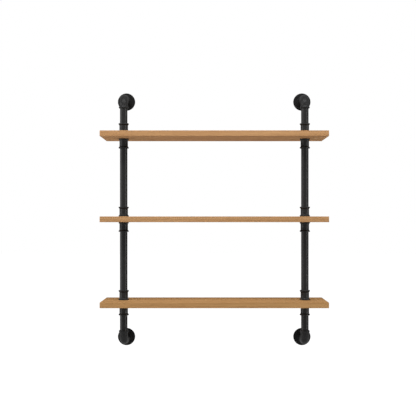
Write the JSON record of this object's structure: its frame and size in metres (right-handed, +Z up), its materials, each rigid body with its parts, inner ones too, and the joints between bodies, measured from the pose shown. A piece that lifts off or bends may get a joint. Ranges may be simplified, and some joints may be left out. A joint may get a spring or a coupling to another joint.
{
  "type": "wall shelf",
  "caption": "Wall shelf with wooden boards clamped between couplings on posts of black threaded pipe that turn back through elbows to round wall flanges.",
  "frame": {"origin": "middle of the four wall flanges, on the wall's surface, level with the middle board", "axes": "+X to the right seen from the front, +Y into the wall, +Z up"},
  "size_m": [0.8, 0.205, 0.936],
  "materials": {
    "oiled_oak_board": "light oak, planed, eased edges, matt oil",
    "coated_pipe": "drawn steel pipe, satin black powder coat",
    "coated_fitting": "malleable cast iron, satin black powder coat over a fine cast texture"
  },
  "bodies": {
    "root": {"bottom_board": "oiled_oak_board", "left_bottom_board_nipple": "coated_pipe", "left_bottom_over_coupling": "coated_fitting", "left_bottom_under_coupling": "coated_fitting", "left_lower_elbow": "coated_fitting", "left_lower_end_nipple": "coated_pipe", "left_lower_riser": "coated_pipe", "left_lower_wall_flange": "coated_fitting", "left_lower_wall_nipple": "coated_pipe", "left_middle_board_nipple": "coated_pipe", "left_middle_over_coupling": "coated_fitting", "left_middle_under_coupling": "coated_fitting", "left_top_board_nipple": "coated_pipe", "left_top_over_coupling": "coated_fitting", "left_top_under_coupling": "coated_fitting", "left_upper_elbow": "coated_fitting", "left_upper_end_nipple": "coated_pipe", "left_upper_riser": "coated_pipe", "left_upper_wall_flange": "coated_fitting", "left_upper_wall_nipple": "coated_pipe", "middle_board": "oiled_oak_board", "right_bottom_board_nipple": "coated_pipe", "right_bottom_over_coupling": "coated_fitting", "right_bottom_under_coupling": "coated_fitting", "right_lower_elbow": "coated_fitting", "right_lower_end_nipple": "coated_pipe", "right_lower_riser": "coated_pipe", "right_lower_wall_flange": "coated_fitting", "right_lower_wall_nipple": "coated_pipe", "right_middle_board_nipple": "coated_pipe", "right_middle_over_coupling": "coated_fitting", "right_middle_under_coupling": "coated_fitting", "right_top_board_nipple": "coated_pipe", "right_top_over_coupling": "coated_fitting", "right_top_under_coupling": "coated_fitting", "right_upper_elbow": "coated_fitting", "right_upper_end_nipple": "coated_pipe", "right_upper_riser": "coated_pipe", "right_upper_wall_flange": "coated_fitting", "right_upper_wall_nipple": "coated_pipe", "top_board": "oiled_oak_board"}
  },
  "joints": []
}
